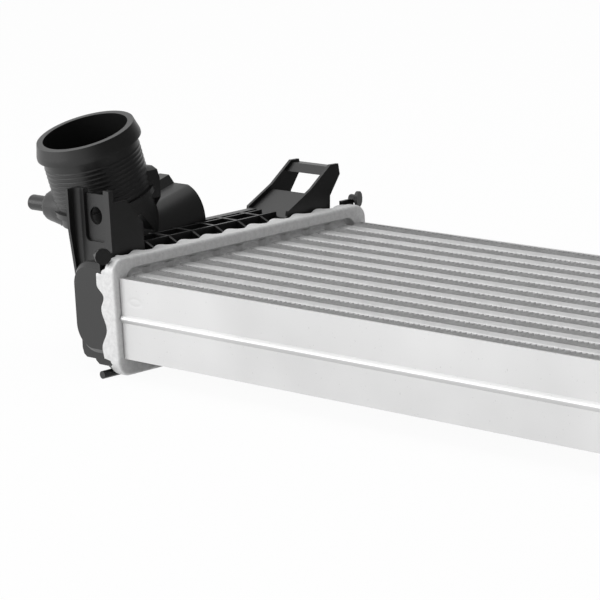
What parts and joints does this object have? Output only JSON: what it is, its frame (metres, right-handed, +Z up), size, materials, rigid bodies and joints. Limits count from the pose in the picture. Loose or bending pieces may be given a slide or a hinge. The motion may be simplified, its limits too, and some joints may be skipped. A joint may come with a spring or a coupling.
{
  "type": "intercooler",
  "caption": "Long flat charge air cooler: finned flat-tube aluminium core between crimped plastic end tanks with leaning hose necks and brackets.",
  "frame": {"origin": "middle of the base plane that the corner pegs rest on, below the centre of the bounding box", "axes": "+X along the tubes from the tank with brackets to the other tank, +Y across the stack of tubes, +Z up through the depth of the core, the side the hose necks stand on"},
  "size_m": [0.7894, 0.1806, 0.1191],
  "materials": {
    "core_aluminium": "brazed, satin",
    "fin_aluminium": "brazed, matte",
    "plate_aluminium": "rolled, satin, flux spots",
    "tank_plastic": "moulded, glass filled, satin",
    "seal_rubber": "matte"
  },
  "bodies": {
    "root": {"tube_01": "core_aluminium", "tube_02": "core_aluminium", "tube_03": "core_aluminium", "tube_04": "core_aluminium", "tube_05": "core_aluminium", "tube_06": "core_aluminium", "tube_07": "core_aluminium", "tube_08": "core_aluminium", "tube_09": "core_aluminium", "tube_10": "core_aluminium", "header_plate_left": "core_aluminium", "header_plate_right": "core_aluminium", "fin_row_01": "fin_aluminium", "fin_row_02": "fin_aluminium", "fin_row_03": "fin_aluminium", "fin_row_04": "fin_aluminium", "fin_row_05": "fin_aluminium", "fin_row_06": "fin_aluminium", "fin_row_07": "fin_aluminium", "fin_row_08": "fin_aluminium", "fin_row_09": "fin_aluminium", "fin_row_10": "fin_aluminium", "fin_row_11": "fin_aluminium", "turbulator_01": "fin_aluminium", "turbulator_02": "fin_aluminium", "turbulator_03": "fin_aluminium", "turbulator_04": "fin_aluminium", "turbulator_05": "fin_aluminium", "turbulator_06": "fin_aluminium", "turbulator_07": "fin_aluminium", "turbulator_08": "fin_aluminium", "turbulator_09": "fin_aluminium", "turbulator_10": "fin_aluminium", "side_plate_near": "plate_aluminium", "side_plate_far": "plate_aluminium", "end_tank_left": "tank_plastic", "end_tank_right": "tank_plastic", "gasket_left": "seal_rubber", "gasket_right": "seal_rubber"}
  },
  "joints": []
}
